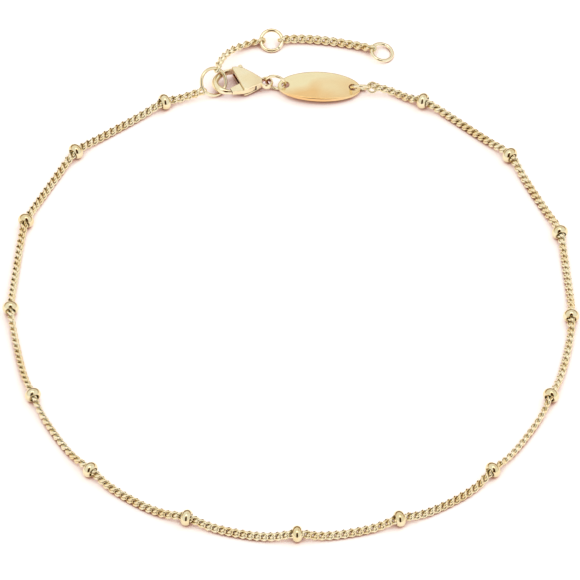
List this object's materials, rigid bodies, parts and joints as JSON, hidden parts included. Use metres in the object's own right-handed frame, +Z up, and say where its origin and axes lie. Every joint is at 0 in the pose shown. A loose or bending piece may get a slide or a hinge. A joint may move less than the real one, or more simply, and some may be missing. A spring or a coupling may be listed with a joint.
{
  "type": "chain anklet",
  "caption": "Fine curb-chain anklet with small rondelle beads, a lobster clasp, an oval tag and a chain extender, closed and lying flat.",
  "frame": {"origin": "on the surface that the anklet lies on, under the middle of the box round the whole piece", "axes": "+Z up from the surface, +Y from the front of the loop towards the clasp and extender, +X to the right along the tag"},
  "size_m": [0.0748, 0.0837, 0.0031],
  "materials": {
    "chain": "Gold-plated brass curb chain, polished",
    "beads": "Gold-plated brass, high polish",
    "findings": "Gold-plated brass rings, high polish",
    "clasp": "Gold-plated cast brass, high polish",
    "tag": "Gold-plated brass plate, high polish"
  },
  "bodies": {
    "anklet": {"main_chain": "chain", "bead_01": "beads", "bead_02": "beads", "bead_03": "beads", "bead_04": "beads", "bead_05": "beads", "bead_06": "beads", "bead_07": "beads", "bead_08": "beads", "bead_09": "beads", "bead_10": "beads", "bead_11": "beads", "bead_12": "beads", "bead_13": "beads", "bead_14": "beads", "bead_15": "beads", "clasp_ring": "findings", "middle_ring": "findings", "end_ring": "findings", "tag_ring_left": "findings", "tag_ring_right": "findings", "chain_end_link": "findings", "extender_inner": "chain", "extender_outer": "chain", "tag": "tag", "clasp_body": "clasp", "clasp_pin": "clasp"},
    "lever": {"clasp_lever": "clasp"}
  },
  "joints": [
    {"name": "lever_hinge", "type": "hinge", "parent": "anklet", "child": "lever", "pos_m": [-0.00526, 0.03254, 0.00109], "axis": [-0.0175, 0, -0.9998], "range_deg": [0, 22], "stiffness_Nm_per_rad": 0.0005, "springref_deg": -20.05}
  ]
}
